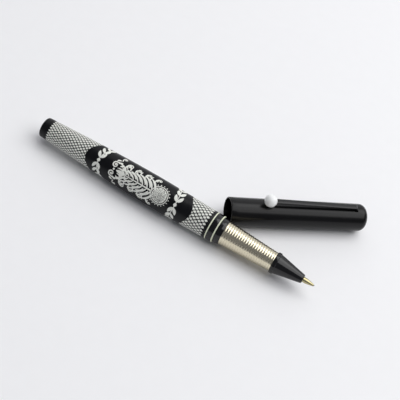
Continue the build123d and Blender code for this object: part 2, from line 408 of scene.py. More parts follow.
def eased(outline, radius=EASE, sharpest=0.25, steps=3):
    """The outline with each corner rounded, by no more than its sides have room for."""
    most = 0.4   # of a side's length that one corner may take up
    rounded = []
    for i, corner in enumerate(outline):
        here = Vector(corner)
        back = Vector(outline[i - 1]) - here
        ahead = Vector(outline[(i + 1) % len(outline)]) - here
        turn = math.pi - back.angle(ahead)
        on_axis = here.y < TOUCHING
        if turn < sharpest or on_axis:
            rounded.append(corner)
            continue
        reach = radius * math.tan(turn / 2)
        reach = min(reach, most * back.length, most * ahead.length)
        start = here + back.normalized() * reach
        end = here + ahead.normalized() * reach
        for step in range(steps + 1):
            t = step / steps
            point = start * (1 - t) ** 2 + here * (2 * t * (1 - t)) + end * t**2
            rounded.append((point.x, point.y))
    return rounded


def keep_mesh(name, mesh, slot, sharp=CRISP):
    """Turn a bmesh into a piece with clean normals and its finish."""
    bmesh.ops.remove_doubles(mesh, verts=mesh.verts, dist=TOUCHING / 100)
    bmesh.ops.recalc_face_normals(mesh, faces=mesh.faces)
    data = bpy.data.meshes.new(name)
    mesh.to_mesh(data)
    mesh.free()
    data.shade_smooth()
    data.set_sharp_from_angle(angle=sharp)
    data.materials.append(material_for(slot))
    piece = bpy.data.objects.new(name, data)
    bpy.context.scene.collection.objects.link(piece)
    return piece


def turn_outline(name, outline, slot, around=AROUND):
    """Turn a closed outline of (along, radius) points about the pen's axis."""
    mesh = bmesh.new()
    rings = []
    for along, radius in outline:
        turns = 1 if radius < TOUCHING else around
        angles = [math.tau * i / around for i in range(turns)]
        rings.append(
            [
                mesh.verts.new((along, radius * math.cos(a), radius * math.sin(a)))
                for a in angles
            ]
        )
    for near, far in zip(rings, rings[1:] + rings[:1]):
        for i in range(around):
            j = (i + 1) % around
            corners = [
                near[i % len(near)],
                near[j % len(near)],
                far[j % len(far)],
                far[i % len(far)],
            ]
            corners = list(dict.fromkeys(corners))
            if len(corners) > 2:
                mesh.faces.new(corners)
    return keep_mesh(name, mesh, slot)


def settle(piece, body, slot, *nodes):
    """Let a finished piece ride on its body and stand for its nodes."""
    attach(piece, body)
    if nodes:
        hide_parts(*nodes)
    return piece


def remake_turned(node, body, slot):
    """Replace a turned node with a smoother one of the same outline and eased corners."""
    piece = turn_outline(f"{node}_turned", eased(turned_outline(node)), slot)
    return settle(piece, body, slot, node)


def remake_eased(node, body, slot, width):
    """Replace a node with a copy whose sharp edges are eased, so that they catch light."""
    flat, sharp = math.radians(0.5), math.radians(40)
    mesh = bmesh.new()
    mesh.from_mesh(NODES[node].data)
    bmesh.ops.remove_doubles(mesh, verts=mesh.verts, dist=TOUCHING)
    bmesh.ops.dissolve_limit(
        mesh, angle_limit=flat, verts=mesh.verts, edges=mesh.edges
    )
    piece = keep_mesh(f"{node}_eased", mesh, slot, sharp=sharp)
    bevel = piece.modifiers.new("eased_edges", "BEVEL")
    bevel.width = width
    bevel.segments = 2
    bevel.limit_method = "ANGLE"
    bevel.angle_limit = sharp
    bevel.harden_normals = True
    graph = bpy.context.evaluated_depsgraph_get()
    done = bpy.data.meshes.new_from_object(piece.evaluated_get(graph), depsgraph=graph)
    piece.modifiers.remove(bevel)
    piece.data = done
    return settle(piece, body, slot, node)


def outer_radius(outline, along):
    """The outline's largest radius at a place along the axis."""
    found = 0.0
    for (x0, r0), (x1, r1) in zip(outline, outline[1:] + outline[:1]):
        if min(x0, x1) <= along <= max(x0, x1) and abs(x1 - x0) > TOUCHING:
            found = max(found, r0 + (r1 - r0) * (along - x0) / (x1 - x0))
    return found


def sunk(outline, depth):
    """The outline with its outer side lowered, to leave room for what stands on it."""
    return [
        (x, r - depth if r > outer_radius(outline, x) - TOUCHING else r) for x, r in outline
    ]


def barrel_skin(settings):
    """The barrel's outline with room left for the ink inside its true radius."""
    return sunk(turned_outline("barrel_tube"), INK_ROOM * settings.ink_height)


# ---------------- Geometry Nodes ----------------


def start_tree(name, inputs):
    """A Geometry Nodes tree with named inputs, and its input sockets by name."""
    tree = bpy.data.node_groups.new(name, "GeometryNodeTree")
    for label, kind in inputs.items():
        tree.interface.new_socket(label, in_out="INPUT", socket_type=kind)
    tree.interface.new_socket(
        "Geometry", in_out="OUTPUT", socket_type="NodeSocketGeometry"
    )
    return tree, tree.nodes.new("NodeGroupInput").outputs


def end_tree(tree, geometry, material):
    """Realize what the tree made, shade it and give it its finish."""
    real = add_node(tree, "GeometryNodeRealizeInstances", {"Geometry": geometry})
    painted = add_node(
        tree,
        "GeometryNodeSetMaterial",
        {"Geometry": real.outputs[0], "Material": material},
    )
    add_node(tree, "NodeGroupOutput", {"Geometry": painted.outputs[0]})


def grow(name, tree, values, sharp=CRISP):
    """Run a tree once and keep what it makes as a plain mesh."""
    maker = bpy.data.objects.new(name, bpy.data.meshes.new(name))
    bpy.context.scene.collection.objects.link(maker)
    modifier = maker.modifiers.new(name, "NODES")
    modifier.node_group = tree
    for item in tree.interface.items_tree:
        if item.in_out == "INPUT":
            modifier[item.identifier] = values[item.name]
    graph = bpy.context.evaluated_depsgraph_get()
    mesh = bpy.data.meshes.new_from_object(maker.evaluated_get(graph), depsgraph=graph)
    maker.modifiers.remove(modifier)
    maker.data = mesh
    mesh.shade_smooth()
    mesh.set_sharp_from_angle(angle=sharp)
    return maker


def drop_on_barrel(tree, given, along, turn):
    """Where points at a place and a turn land on the barrel's skin, and the way out of it."""
    outside = add_node(
        tree, "ShaderNodeMath", {0: given["Full Radius"], 1: OUTSIDE}, operation="MULTIPLY"
    ).outputs[0]
    sine = add_node(tree, "ShaderNodeMath", {0: turn}, operation="SINE").outputs[0]
    cosine = add_node(tree, "ShaderNodeMath", {0: turn}, operation="COSINE").outputs[0]
    leftwards = add_node(
        tree, "ShaderNodeMath", {0: sine, 1: outside}, operation="MULTIPLY"
    ).outputs[0]
    across = add_node(
        tree, "ShaderNodeMath", {0: leftwards, 1: -1.0}, operation="MULTIPLY"
    ).outputs[0]
    height = add_node(
        tree, "ShaderNodeMath", {0: cosine, 1: outside}, operation="MULTIPLY"
    ).outputs[0]
    spot = add_node(
        tree, "ShaderNodeCombineXYZ", {"X": along, "Y": across, "Z": height}
    ).outputs[0]
    barrel = add_node(tree, "GeometryNodeObjectInfo", {"Object": given["Barrel"]})
    skin = add_node(
        tree,
        "GeometryNodeProximity",
        {"Geometry": barrel.outputs["Geometry"], "Sample Position": spot},
        target_element="FACES",
    ).outputs["Position"]
    off_skin = add_node(
        tree, "ShaderNodeVectorMath", {0: spot, 1: skin}, operation="SUBTRACT"
    ).outputs[0]
    outwards = add_node(
        tree, "ShaderNodeVectorMath", {0: off_skin}, operation="NORMALIZE"
    ).outputs[0]
    return skin, outwards


def crosshatch_tree():
    """Diamonds in staggered rows, laid on the barrel wherever its black label is not."""
    tree, given = start_tree(
        "barrel_crosshatch",
        {
            "Barrel": "NodeSocketObject",
            "Around": "NodeSocketInt",
            "Rows": "NodeSocketInt",
            "Start": "NodeSocketFloat",
            "Row Spacing": "NodeSocketFloat",
            "Length": "NodeSocketFloat",
            "Width": "NodeSocketFloat",
            "Full Radius": "NodeSocketFloat",
            "Ink Height": "NodeSocketFloat",
            "Label Rear": "NodeSocketFloat",
            "Label Front": "NodeSocketFloat",
            "Scallop": "NodeSocketFloat",
            "Label Turn": "NodeSocketFloat",
            "Ink": "NodeSocketMaterial",
        },
    )
    # one point for each diamond, every other row turned by half a diamond
    total = add_node(
        tree, "ShaderNodeMath", {0: given["Around"], 1: given["Rows"]}, operation="MULTIPLY"
    ).outputs[0]
    points = add_node(tree, "GeometryNodePoints", {"Count": total})
    index = add_node(tree, "GeometryNodeInputIndex").outputs[0]
    rounds = add_node(
        tree, "ShaderNodeMath", {0: index, 1: given["Around"]}, operation="DIVIDE"
    ).outputs[0]
    row = add_node(tree, "ShaderNodeMath", {0: rounds}, operation="FLOOR").outputs[0]
    column = add_node(
        tree, "ShaderNodeMath", {0: index, 1: given["Around"]}, operation="MODULO"
    ).outputs[0]
    odd_row = add_node(tree, "ShaderNodeMath", {0: row, 1: 2.0}, operation="MODULO").outputs[0]
    stagger = add_node(
        tree, "ShaderNodeMath", {0: odd_row, 1: 0.5}, operation="MULTIPLY"
    ).outputs[0]
    place = add_node(tree, "ShaderNodeMath", {0: column, 1: stagger}, operation="ADD").outputs[0]
    share = add_node(
        tree, "ShaderNodeMath", {0: place, 1: given["Around"]}, operation="DIVIDE"
    ).outputs[0]
    turn = add_node(
        tree, "ShaderNodeMath", {0: share, 1: math.tau}, operation="MULTIPLY"
    ).outputs[0]
    rows_on = add_node(
        tree, "ShaderNodeMath", {0: row, 1: given["Row Spacing"]}, operation="MULTIPLY"
    ).outputs[0]
    along = add_node(
        tree, "ShaderNodeMath", {0: given["Start"], 1: rows_on}, operation="ADD"
    ).outputs[0]
    skin, outwards = drop_on_barrel(tree, given, along, turn)
    # the barrel's girth here, as a share of its fullest
    cross = add_node(
        tree, "ShaderNodeVectorMath", {0: skin, 1: (0, 1, 1)}, operation="MULTIPLY"
    ).outputs[0]
    here = add_node(tree, "ShaderNodeVectorMath", {0: cross}, operation="LENGTH").outputs[1]
    girth = add_node(
        tree, "ShaderNodeMath", {0: here, 1: given["Full Radius"]}, operation="DIVIDE"
    ).outputs[0]
    # nothing is printed between the label's scalloped ends
    off_middle = add_node(
        tree, "ShaderNodeMath", {0: turn, 1: given["Label Turn"]}, operation="SUBTRACT"
    ).outputs[0]
    off_centre = add_node(tree, "ShaderNodeMath", {0: off_middle}, operation="SINE").outputs[0]
    squared = add_node(
        tree, "ShaderNodeMath", {0: off_centre, 1: off_centre}, operation="MULTIPLY"
    ).outputs[0]
    dip = add_node(
        tree, "ShaderNodeMath", {0: given["Scallop"], 1: squared}, operation="MULTIPLY"
    ).outputs[0]
    front_edge = add_node(
        tree, "ShaderNodeMath", {0: given["Label Front"], 1: dip}, operation="SUBTRACT"
    ).outputs[0]
    rear_edge = add_node(
        tree, "ShaderNodeMath", {0: given["Label Rear"], 1: dip}, operation="ADD"
    ).outputs[0]
    behind_front = add_node(
        tree, "ShaderNodeMath", {0: along, 1: front_edge}, operation="LESS_THAN"
    ).outputs[0]
    before_rear = add_node(
        tree, "ShaderNodeMath", {0: along, 1: rear_edge}, operation="GREATER_THAN"
    ).outputs[0]
    placed = add_node(
        tree,
        "GeometryNodeSetPosition",
        {"Geometry": points.outputs[0], "Position": skin},
    )
    on_label = add_node(
        tree, "ShaderNodeMath", {0: behind_front, 1: before_rear}, operation="MULTIPLY"
    ).outputs[0]
    printed = add_node(
        tree, "ShaderNodeMath", {0: on_label, 1: 0.5}, operation="LESS_THAN"
    ).outputs[0]
    upright = add_node(
        tree, "FunctionNodeAlignRotationToVector", {"Vector": outwards}, axis="Z"
    )
    facing = add_node(
        tree,
        "FunctionNodeAlignRotationToVector",
        {"Rotation": upright.outputs[0], "Vector": (1, 0, 0)},
        axis="X",
        pivot_axis="Z",
    )
    diamond = add_node(
        tree,
        "GeometryNodeMeshCone",
        {
            "Vertices": 8,
            "Radius Top": 0.88,
            "Radius Bottom": 1.0,
            "Depth": CREST - FOOT,
        },
    )
    # every other corner is drawn in, which makes a diamond with blunt corners
    corner = add_node(tree, "GeometryNodeInputPosition").outputs[0]
    parts = add_node(tree, "ShaderNodeSeparateXYZ", {0: corner})
    product = add_node(
        tree,
        "ShaderNodeMath",
        {0: parts.outputs["X"], 1: parts.outputs["Y"]},
        operation="MULTIPLY",
    ).outputs[0]
    slant = add_node(tree, "ShaderNodeMath", {0: product}, operation="ABSOLUTE").outputs[0]
    cut_off = add_node(
        tree, "ShaderNodeMath", {0: slant, 1: BLUNTNESS}, operation="MULTIPLY"
    ).outputs[0]
    draw_in = add_node(
        tree, "ShaderNodeMath", {0: 1.0, 1: cut_off}, operation="SUBTRACT"
    ).outputs[0]
    blunt_x = add_node(
        tree, "ShaderNodeMath", {0: parts.outputs["X"], 1: draw_in}, operation="MULTIPLY"
    ).outputs[0]
    blunt_y = add_node(
        tree, "ShaderNodeMath", {0: parts.outputs["Y"], 1: draw_in}, operation="MULTIPLY"
    ).outputs[0]
    standing = add_node(
        tree, "ShaderNodeMath", {0: parts.outputs["Z"], 1: FOOT}, operation="ADD"
    ).outputs[0]
    blunt = add_node(
        tree, "ShaderNodeCombineXYZ", {"X": blunt_x, "Y": blunt_y, "Z": standing}
    )
    shaped = add_node(
        tree,
        "GeometryNodeSetPosition",
        {"Geometry": diamond.outputs["Mesh"], "Position": blunt.outputs[0]},
    )
    half_length = add_node(
        tree, "ShaderNodeMath", {0: given["Length"], 1: 0.5}, operation="MULTIPLY"
    ).outputs[0]
    half_width = add_node(
        tree, "ShaderNodeMath", {0: given["Width"], 1: 0.5}, operation="MULTIPLY"
    ).outputs[0]
    slimmed = add_node(
        tree, "ShaderNodeMath", {0: half_width, 1: girth}, operation="MULTIPLY"
    ).outputs[0]
    size = add_node(
        tree,
        "ShaderNodeCombineXYZ",
        {"X": half_length, "Y": slimmed, "Z": given["Ink Height"]},
    )
    laid = add_node(
        tree,
        "GeometryNodeInstanceOnPoints",
        {
            "Points": placed.outputs[0],
            "Selection": printed,
            "Instance": shaped.outputs[0],
            "Rotation": facing.outputs[0],
            "Scale": size.outputs[0],
        },
    )
    end_tree(tree, laid.outputs[0], given["Ink"])
    return tree


def ribs_tree():
    """Rounded ribs round a tapered sleeve, evenly spaced along it."""
    tree, given = start_tree(
        "grip_ribs",
        {
            "Count": "NodeSocketInt",
            "Start": "NodeSocketFloat",
            "Spacing": "NodeSocketFloat",
            "Start Radius": "NodeSocketFloat",
            "Radius Step": "NodeSocketFloat",
            "Rib Height": "NodeSocketFloat",
            "Rib Half Width": "NodeSocketFloat",
            "Sides": "NodeSocketInt",
            "Metal": "NodeSocketMaterial",
        },
    )
    points = add_node(tree, "GeometryNodePoints", {"Count": given["Count"]})
    index = add_node(tree, "GeometryNodeInputIndex").outputs[0]
    ribs_on = add_node(
        tree, "ShaderNodeMath", {0: index, 1: given["Spacing"]}, operation="MULTIPLY"
    ).outputs[0]
    along = add_node(
        tree, "ShaderNodeMath", {0: given["Start"], 1: ribs_on}, operation="ADD"
    ).outputs[0]
    place = add_node(tree, "ShaderNodeCombineXYZ", {"X": along})
    spread = add_node(
        tree,
        "GeometryNodeSetPosition",
        {"Geometry": points.outputs[0], "Position": place.outputs[0]},
    )
    widened = add_node(
        tree, "ShaderNodeMath", {0: index, 1: given["Radius Step"]}, operation="MULTIPLY"
    ).outputs[0]
    radius = add_node(
        tree, "ShaderNodeMath", {0: given["Start Radius"], 1: widened}, operation="ADD"
    ).outputs[0]
    hoop = add_node(
        tree, "GeometryNodeCurvePrimitiveCircle", {"Resolution": given["Sides"], "Radius": 1.0}
    )
    standing = add_node(
        tree,
        "GeometryNodeTransform",
        {"Geometry": hoop.outputs[0], "Rotation": (0, math.pi / 2, 0)},
    )
    hoops = add_node(
        tree,
        "GeometryNodeInstanceOnPoints",
        {"Points": spread.outputs[0], "Instance": standing.outputs[0], "Scale": radius},
    )
    paths = add_node(
        tree, "GeometryNodeRealizeInstances", {"Geometry": hoops.outputs[0]}
    )
    section = add_node(
        tree,
        "GeometryNodeCurvePrimitiveCircle",
        {"Resolution": 12, "Radius": 1.0},
    )
    squashed = add_node(
        tree,
        "ShaderNodeCombineXYZ",
        {"X": given["Rib Half Width"], "Y": given["Rib Height"], "Z": 1.0},
    )
    low_section = add_node(
        tree,
        "GeometryNodeTransform",
        {"Geometry": section.outputs[0], "Scale": squashed.outputs[0]},
    )
    ribs = add_node(
        tree,
        "GeometryNodeCurveToMesh",
        {"Curve": paths.outputs[0], "Profile Curve": low_section.outputs[0]},
    )
    end_tree(tree, ribs.outputs[0], given["Metal"])
    return tree


def coil_tree():
    """A round wire or ridge wound round the pen's axis, with its ends closed."""
    tree, given = start_tree(
        "coil",
        {
            "Start": "NodeSocketFloat",
            "Length": "NodeSocketFloat",
            "Turns": "NodeSocketFloat",
            "Radius": "NodeSocketFloat",
            "Wire Radius": "NodeSocketFloat",
            "Wire Sides": "NodeSocketInt",
            "Material": "NodeSocketMaterial",
        },
    )
    spiral = add_node(
        tree,
        "GeometryNodeCurveSpiral",
        {
            "Resolution": 64,
            "Rotations": given["Turns"],
            "Start Radius": given["Radius"],
            "End Radius": given["Radius"],
            "Height": given["Length"],
        },
    )
    move = add_node(tree, "ShaderNodeCombineXYZ", {"X": given["Start"]})
    lying = add_node(
        tree,
        "GeometryNodeTransform",
        {
            "Geometry": spiral.outputs[0],
            "Translation": move.outputs[0],
            "Rotation": (0, math.pi / 2, 0),
        },
    )
    section = add_node(
        tree,
        "GeometryNodeCurvePrimitiveCircle",
        {"Resolution": given["Wire Sides"], "Radius": given["Wire Radius"]},
    )
    ridge = add_node(
        tree,
        "GeometryNodeCurveToMesh",
        {
            "Curve": lying.outputs[0],
            "Profile Curve": section.outputs[0],
            "Fill Caps": True,
        },
    )
    end_tree(tree, ridge.outputs[0], given["Material"])
    return tree


def seeds_tree():
    """Round grains in a sunflower pattern, laid on the barrel about a centre."""
    tree, given = start_tree(
        "medallion_seeds",
        {
            "Barrel": "NodeSocketObject",
            "Count": "NodeSocketInt",
            "Centre": "NodeSocketFloat",
            "Turn": "NodeSocketFloat",
            "Spread": "NodeSocketFloat",
            "Grain": "NodeSocketFloat",
            "Height": "NodeSocketFloat",
            "Full Radius": "NodeSocketFloat",
            "Seed": "NodeSocketInt",
            "Lacquer": "NodeSocketMaterial",
        },
    )
    points = add_node(tree, "GeometryNodePoints", {"Count": given["Count"]})
    index = add_node(tree, "GeometryNodeInputIndex").outputs[0]
    # each seed turns on by the golden angle, and seeds keep an even spacing outwards
    order = add_node(tree, "ShaderNodeMath", {0: index, 1: 0.5}, operation="ADD").outputs[0]
    golden = add_node(
        tree, "ShaderNodeMath", {0: order, 1: math.pi * (3 - math.sqrt(5))}, operation="MULTIPLY"
    ).outputs[0]
    share = add_node(
        tree, "ShaderNodeMath", {0: order, 1: given["Count"]}, operation="DIVIDE"
    ).outputs[0]
    outwards_share = add_node(tree, "ShaderNodeMath", {0: share}, operation="SQRT").outputs[0]
    reach = add_node(
        tree, "ShaderNodeMath", {0: given["Spread"], 1: outwards_share}, operation="MULTIPLY"
    ).outputs[0]
    forward = add_node(tree, "ShaderNodeMath", {0: golden}, operation="COSINE").outputs[0]
    sideways = add_node(tree, "ShaderNodeMath", {0: golden}, operation="SINE").outputs[0]
    ahead = add_node(
        tree, "ShaderNodeMath", {0: reach, 1: forward}, operation="MULTIPLY"
    ).outputs[0]
    across = add_node(
        tree, "ShaderNodeMath", {0: reach, 1: sideways}, operation="MULTIPLY"
    ).outputs[0]
    along = add_node(
        tree, "ShaderNodeMath", {0: given["Centre"], 1: ahead}, operation="ADD"
    ).outputs[0]
    turned = add_node(
        tree, "ShaderNodeMath", {0: across, 1: given["Full Radius"]}, operation="DIVIDE"
    ).outputs[0]
    turn = add_node(
        tree, "ShaderNodeMath", {0: given["Turn"], 1: turned}, operation="ADD"
    ).outputs[0]
    skin, outwards = drop_on_barrel(tree, given, along, turn)
    placed = add_node(
        tree,
        "GeometryNodeSetPosition",
        {"Geometry": points.outputs[0], "Position": skin},
    )
    upright = add_node(
        tree, "FunctionNodeAlignRotationToVector", {"Vector": outwards}, axis="Z"
    )
    smallest, largest = 0.7, 1.25
    vary = add_node(
        tree,
        "FunctionNodeRandomValue",
        {2: smallest, 3: largest, "Seed": given["Seed"]},
        data_type="FLOAT",
    )
    wide = add_node(
        tree, "ShaderNodeMath", {0: given["Grain"], 1: vary.outputs[1]}, operation="MULTIPLY"
    ).outputs[0]
    size = add_node(
        tree, "ShaderNodeCombineXYZ", {"X": wide, "Y": wide, "Z": given["Height"]}
    )
    grain = add_node(
        tree, "GeometryNodeMeshIcoSphere", {"Radius": 1.0, "Subdivisions": 2}
    )
    laid = add_node(
        tree,
        "GeometryNodeInstanceOnPoints",
        {
            "Points": placed.outputs[0],
            "Instance": grain.outputs[0],
            "Rotation": upright.outputs[0],
            "Scale": size.outputs[0],
        },
    )
    end_tree(tree, laid.outputs[0], given["Lacquer"])
    return tree


# ---------------- sizes and colours a user may change ----------------


def tone(name, description, hex_colour):
    """A colour that a user may change, given as an sRGB hex value."""
    return bpy.props.FloatVectorProperty(
        name=name,
        description=description,
        default=linear(hex_colour),
        min=0.0,
        max=1.0,
        subtype="COLOR",
    )


class PenPrint(bpy.types.PropertyGroup):
    """Sizes of the barrel's screen print."""

    diamonds_around: bpy.props.IntProperty(
        name="Diamonds around", description="Diamonds in one row of the crosshatch", default=24
    )
    front_row: bpy.props.FloatProperty(
        name="Front row spacing",
        description="Spacing of the front band's rows along the barrel",
        default=1.13 * MM,
        unit="LENGTH",
    )
    rear_row: bpy.props.FloatProperty(
        name="Rear row spacing",
        description="Spacing of the rear band's rows along the barrel",
        default=0.98 * MM,
        unit="LENGTH",
    )
    diamond_fill: bpy.props.FloatProperty(
        name="Diamond fill",
        description="How much of its cell's length and width a diamond fills",
        default=0.74,
        subtype="FACTOR",
    )
    plain_front: bpy.props.FloatProperty(
        name="Plain front",
        description="Plain lacquer left between the print and the trim rings",
        default=1.3 * MM,
        unit="LENGTH",
    )
    ink_height: bpy.props.FloatProperty(
        name="Ink height",
        description="How far the ink stands off the lacquer",
        default=0.025 * MM,
        unit="LENGTH",
    )
    label_rear: bpy.props.FloatProperty(
        name="Label rear",
        description="Where the black label starts, from the pen's rear end",
        default=22.5 * MM,
        unit="LENGTH",
    )
    label_front: bpy.props.FloatProperty(
        name="Label front",
        description="Where the black label ends, from the pen's rear end",
        default=71.8 * MM,
        unit="LENGTH",
    )
    label_turn: bpy.props.FloatProperty(
        name="Label turn",
        description="How far round from the top the label's middle is",
        default=math.radians(46),
        subtype="ANGLE",
    )
    scallop: bpy.props.FloatProperty(
        name="Scallop",
        description="How far the label's ends draw back between the two panels",
        default=3.3 * MM,
        unit="LENGTH",
    )
    medallion_at: bpy.props.FloatProperty(
        name="Medallion place",
        description="The medallion's centre, from the pen's rear end",
        default=57.2 * MM,
        unit="LENGTH",
    )
    medallion_radius: bpy.props.FloatProperty(
        name="Medallion radius",
        description="Radius of the round medallion",
        default=3.9 * MM,
        unit="LENGTH",
    )


class PenGrip(bpy.types.PropertyGroup):
    """Sizes of the grip's ribs, the shank's thread and the refill's spring."""

    spring_turns: bpy.props.FloatProperty(
        name="Spring turns", description="Turns in the spring behind the refill", default=8.0
    )
    spring_wire: bpy.props.FloatProperty(
        name="Spring wire",
        description="Diameter of the spring's wire",
        default=0.45 * MM,
        unit="LENGTH",
    )
    # the real ribs are about 0.8 mm apart, too fine to show, so they are drawn coarser
    rib_spacing: bpy.props.FloatProperty(
        name="Rib spacing",
        description="Spacing of the grip's ribs",
        default=1.0 * MM,
        unit="LENGTH",
    )
    rib_width: bpy.props.FloatProperty(
        name="Rib width",
        description="Width of one rib at its foot",
        default=0.92 * MM,
        unit="LENGTH",
    )
    rib_height: bpy.props.FloatProperty(
        name="Rib height",
        description="Height of a rib above the groove beside it",
        default=0.15 * MM,
        unit="LENGTH",
    )
    thread_pitch: bpy.props.FloatProperty(
        name="Thread pitch",
        description="How far the section moves in one turn",
        default=0.75 * MM,
        unit="LENGTH",
    )
    thread_ridge: bpy.props.FloatProperty(
        name="Thread ridge",
        description="Height of the thread above the shank",
        default=0.15 * MM,
        unit="LENGTH",
    )


class PenColours(bpy.types.PropertyGroup):
    """Darker and lighter tones of the coats and metals that show."""

    lacquer_dark: tone("Lacquer dark", "Darker tone of the barrel's lacquer", "060709")
    lacquer_light: tone("Lacquer light", "Lighter tone of the barrel's lacquer", "0C0D11")
    ink_dark: tone("Ink dark", "Darker tone of the printed ink", "D2D4CB")
    ink_light: tone("Ink light", "Lighter tone of the printed ink", "FEFFF8")
    ivory_dark: tone("Ivory dark", "Darker tone of the trim rings", "E4E9CC")
    ivory_light: tone("Ivory light", "Lighter tone of the trim rings", "F3F7DF")
    steel_dark: tone("Steel dark", "Darker tone of the grip's steel", "CAC1A6")
    steel_light: tone("Steel light", "Lighter tone of the grip's steel", "EEE7D1")
    brass_dark: tone("Brass dark", "Darker tone of the brass tip", "9B926C")
    brass_light: tone("Brass light", "Lighter tone of the brass tip", "C8BF98")
    cap_dark: tone("Cap dark", "Darker tone of the cap's lacquer", "040405")
    cap_light: tone("Cap light", "Lighter tone of the cap's lacquer", "0A0A0B")
    bead_dark: tone("Bead dark", "Darker tone of the clip's frosted bead", "E9ECE9")
    bead_light: tone("Bead light", "Lighter tone of the clip's frosted bead", "FFFFFF")


# ---------------- the barrel's ornament ----------------

# across a stroke: place in half widths, height in ink heights
STROKE = ((-1, -1.6), (-1, 0.55), (0, 1.0), (1, 0.55), (1, -1.6))
# across a label's edge: place in border widths, height in ink heights
EDGE_SECTION = ((0, -1.6), (0, 2.3), (0.55, 2.3), (1, -0.2), (1, -1.6))


def on_barrel(outline, along, turn, lift):
    """The point on the barrel that lies along it and round from its top, lifted a little."""
    radius = outer_radius(outline, along) + lift
    return Vector((along, -radius * math.sin(turn), radius * math.cos(turn)))


def heading_to(angle):
    """The unit step along the barrel and round it for a heading."""
    return Vector((math.cos(angle), math.sin(angle)))


class Print:
    """Inks shapes on the barrel: x along it, s round it from the label's middle."""

    def __init__(self, outline, turn, height):
        self.outline = outline
        self.turn = turn
        self.height = height
        self.mesh = bmesh.new()

    def skin(self, x, s, lift):
        """A new corner on the barrel, with its lift in ink heights."""
        turn = self.turn + s / outer_radius(self.outline, x)
        return self.mesh.verts.new(on_barrel(self.outline, x, turn, lift * self.height))

    def stroke(self, path, widths):
        """Ink one stroke: a low closed ridge along a path of (x, s) points."""
        sections = []
        for i, (spot, width) in enumerate(zip(path, widths)):
            before = Vector(path[max(i - 1, 0)])
            after = Vector(path[min(i + 1, len(path) - 1)])
            side = (after - before).normalized().orthogonal() * (width / 2)
            sections.append(
                [self.skin(spot[0] + k * side.x, spot[1] + k * side.y, h) for k, h in STROKE]
            )
        for near, far in zip(sections, sections[1:]):
            for j in range(len(STROKE)):
                k = (j + 1) % len(STROKE)
                self.mesh.faces.new((near[j], near[k], far[k], far[j]))
        self.mesh.faces.new(sections[0])
        self.mesh.faces.new(sections[-1])

    def walk(self, root, heading, length, bend, steps):
        """A path that leaves its root at a heading and bends evenly to one side."""
        path = [Vector(root)]
        for i in range(steps):
            path.append(path[-1] + heading_to(heading + bend * i / steps) * (length / steps))
        return path

    def leaf(self, root, heading, length, width, bend=0.0, steps=9):
        """Ink a leaf, widest a little before its middle, and give its tip."""
        path = self.walk(root, heading, length, bend, steps)
        begun, spread, fullness, tip = 0.08, 0.9, 0.8, 0.06
        swell = [
            math.sin(math.pi * (begun + spread * i / steps)) ** fullness
            for i in range(steps + 1)
        ]
        self.stroke(path, [width * max(w, tip) for w in swell])
        return path[-1]

    def split_leaf(self, root, heading, length, width, bend):
        """Ink a leaf as two lobes with a dark vein between them."""
        vein = 0.2 * MM
        splay, uneven = 0.1, 0.1
        across = heading_to(heading + math.pi / 2)
        for side in (-1, 1):
            start = Vector(root) + across * side * (width / 4 + vein / 2)
            lobe = length * (1 - uneven * side)
            self.leaf(start, heading + side * splay, lobe, width / 2, bend)

    def scroll(self, start, heading, way, radius, width, steps=24):
        """Ink a spiral that leaves a point at a heading and winds in to a round eye."""
        first = heading - way * math.pi / 2
        centre = Vector(start) - heading_to(first) * radius
        winds, closing, thinning, eye = 1.2, 0.75, 0.4, 0.27
        path, widths = [], []
        for i in range(steps + 1):
            t = i / steps
            out = heading_to(first + way * winds * math.tau * t)
            path.append(centre + out * radius * (1 - closing * t))
            widths.append(width * (1 - thinning * t))
        self.stroke(path, widths)
        self.dot(centre, radius * eye)

    def vine(self, root, heading, length, bend, width, curl):
        """Ink a stem that bends to one side and ends in a scroll."""
        steps = 14
        path = self.walk(root, heading, length, bend, steps)
        self.stroke(path, [width] * len(path))
        way = 1 if bend > 0 else -1
        self.scroll(path[-1], heading + bend, way, curl, width)

    def dot(self, centre, radius, rings=1, steps=12):
        """Ink a filled round: rings round a middle, with a sunk edge and back."""
        shoulder, foot = 0.7, STROKE[0][1]
        lifts = [1.0] * (rings - 1) + [shoulder, foot]
        reaches = [(i + 1) / rings for i in range(rings)] + [1.0]
        loops = [[self.skin(*centre, 1.0)]]
        for lift, reach in zip(lifts, reaches):
            spots = [
                Vector(centre) + heading_to(math.tau * i / steps) * radius * reach
                for i in range(steps)
            ]
            loops.append([self.skin(*spot, lift) for spot in spots])
        loops.append([self.skin(*centre, foot)])
        for near, far in zip(loops, loops[1:]):
            for i in range(steps):
                j = (i + 1) % steps
                corners = (
                    near[i % len(near)],
                    near[j % len(near)],
                    far[j % len(far)],
                    far[i % len(far)],
                )
                self.mesh.faces.new(list(dict.fromkeys(corners)))

    def ring(self, centre, radius, width, steps=64):
        """Ink a ring, as a stroke whose ends meet."""
        turns = [math.tau * i / steps for i in range(steps + 1)]
        path = [Vector(centre) + heading_to(turn) * radius for turn in turns]
        self.stroke(path, [width] * len(path))


